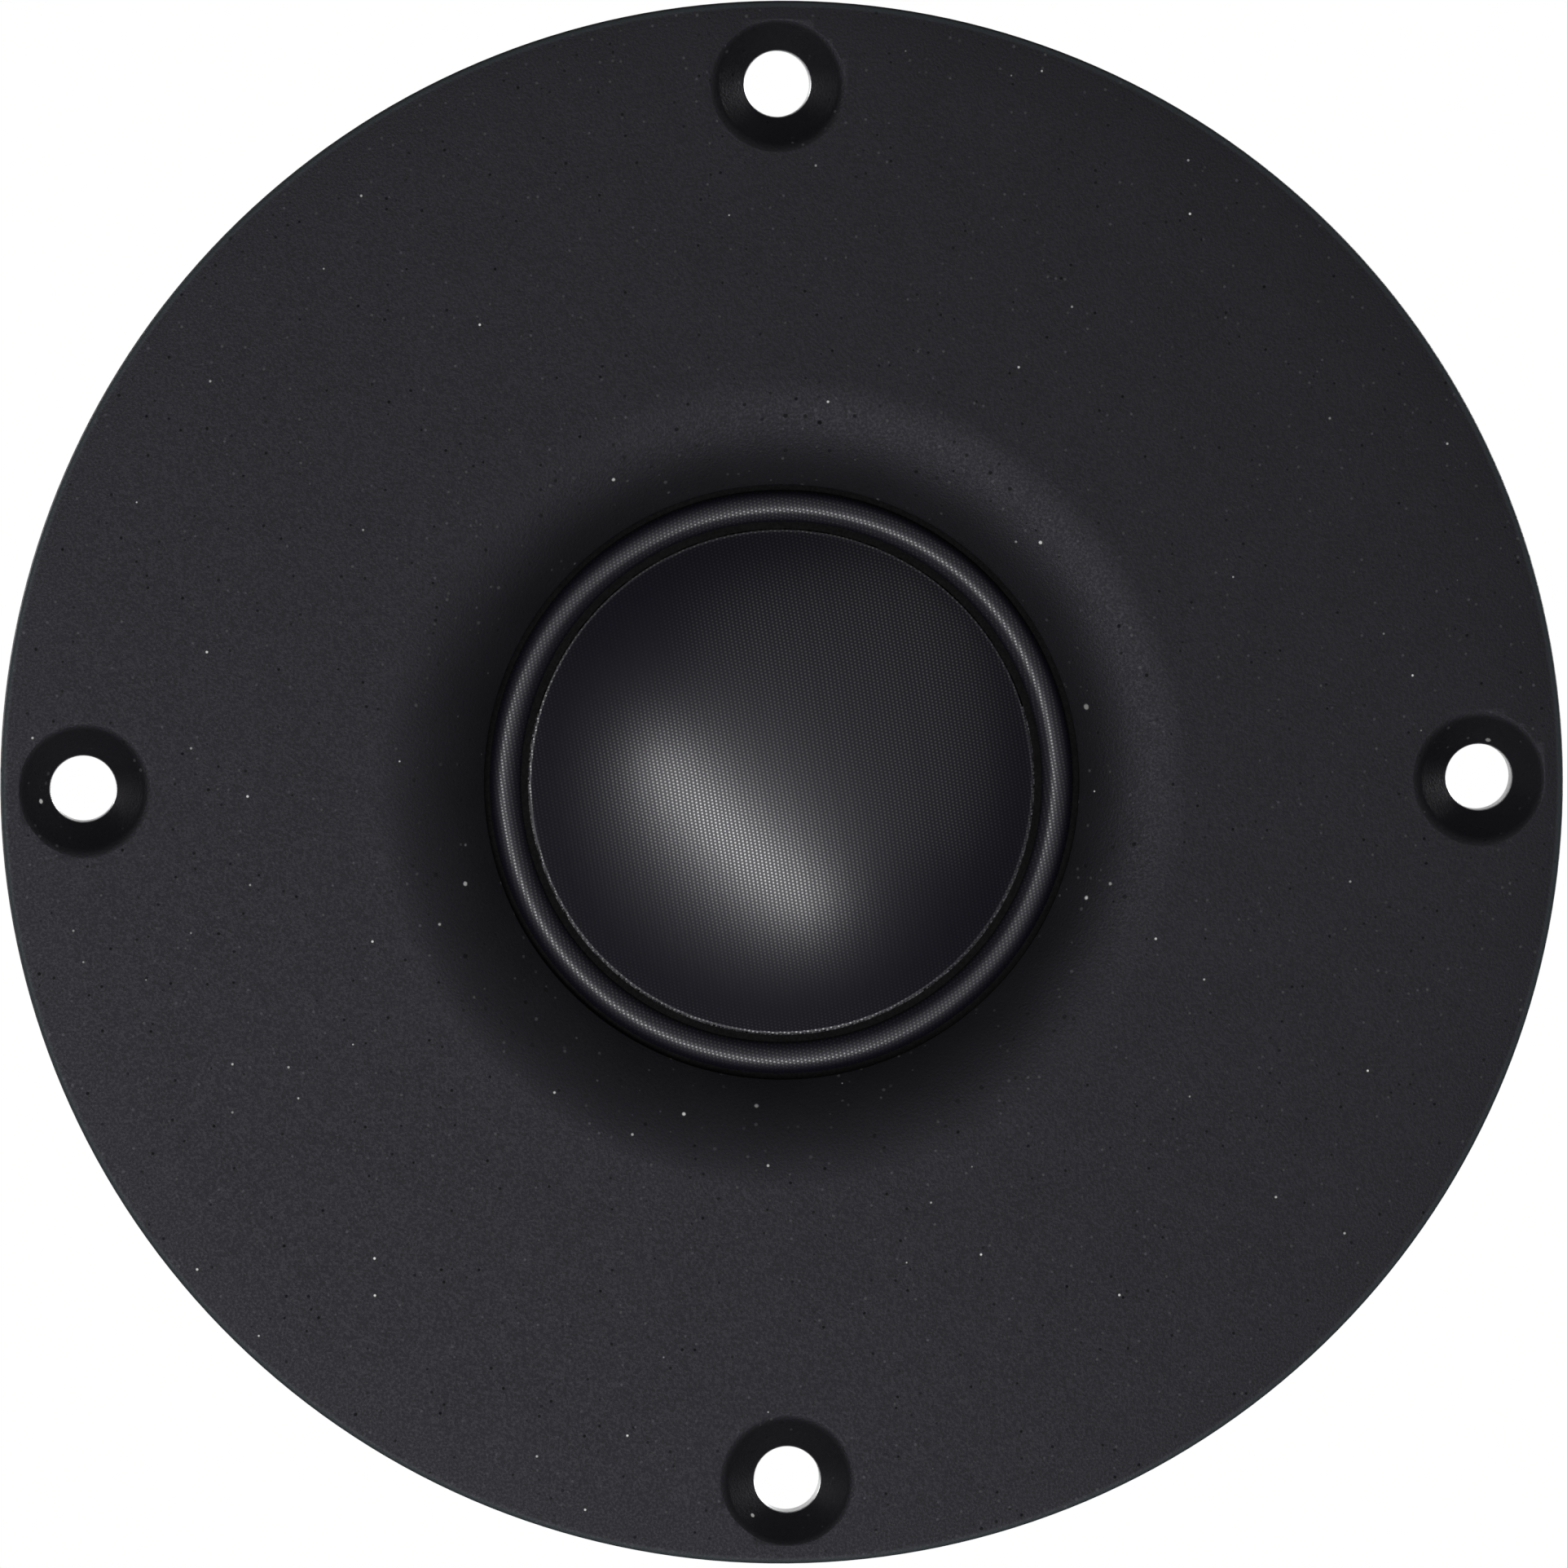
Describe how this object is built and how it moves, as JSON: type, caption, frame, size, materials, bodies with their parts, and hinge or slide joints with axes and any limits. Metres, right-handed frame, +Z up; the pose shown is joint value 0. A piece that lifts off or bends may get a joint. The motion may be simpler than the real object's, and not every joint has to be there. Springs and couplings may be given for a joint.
{
  "type": "dome tweeter",
  "caption": "Soft-dome tweeter on a round flush-mount faceplate with countersunk screw holes, a vented ring-magnet motor and a sealed rear chamber.",
  "frame": {"origin": "centre of the mounting screw circle, on the back face of the flange, where it seats on the baffle", "axes": "-Y is the way the dome faces, towards the listener; +Y is into the baffle; +Z is up, with the terminals at the bottom; +X is to the right seen from the front"},
  "size_m": [0.104, 0.0503, 0.104],
  "materials": {
    "cast_black": "fine sand-textured black powder coat on die-cast alloy",
    "dome_fabric": "plain-weave fabric, dark grey, satin damping coat",
    "surround_fabric": "the dome's plain-weave fabric with a thinner coat",
    "moulded_black": "fine-grained moulded plastic, matt",
    "former_aluminium": "thin rolled aluminium foil",
    "copper": "bare or enamelled copper",
    "tinned_blade": "tin-plated brass",
    "black_zinc": "turned steel, black-passivated",
    "ferrite": "ground sintered ferrite, dull",
    "felt": "pressed grey wool felt",
    "wadding": "soft white fibre wadding",
    "rubber_black": "soft black rubber, matt",
    "foam_black": "closed-cell foam, matt",
    "screw_steel": "bright zinc-plated steel"
  },
  "bodies": {
    "frame": {"faceplate": "cast_black", "surround": "surround_fabric", "mounting_ring": "moulded_black", "lead_positive": "copper", "lead_negative": "copper", "terminal_block": "moulded_black", "terminal_positive": "tinned_blade", "terminal_negative": "tinned_blade", "top_plate": "black_zinc", "ferrite_magnet": "ferrite", "pole_yoke": "black_zinc", "copper_cap": "copper", "pole_pad": "felt", "vent_damping": "felt", "rear_chamber": "moulded_black", "chamber_wadding": "wadding", "chamber_seal": "rubber_black", "chamber_screws": "screw_steel", "motor_screws": "screw_steel", "locating_pins": "screw_steel", "baffle_gasket": "foam_black"},
    "diaphragm": {"dome": "dome_fabric", "coil_former": "former_aluminium", "coil_winding": "copper"}
  },
  "joints": [
    {"name": "dome_travel", "type": "slide", "parent": "frame", "child": "diaphragm", "axis": [0, -1, 0], "range_m": [-0.0008, 0.0008], "stiffness_N_per_m": 6000, "deforming": ["surround", "lead_positive", "lead_negative"]}
  ]
}
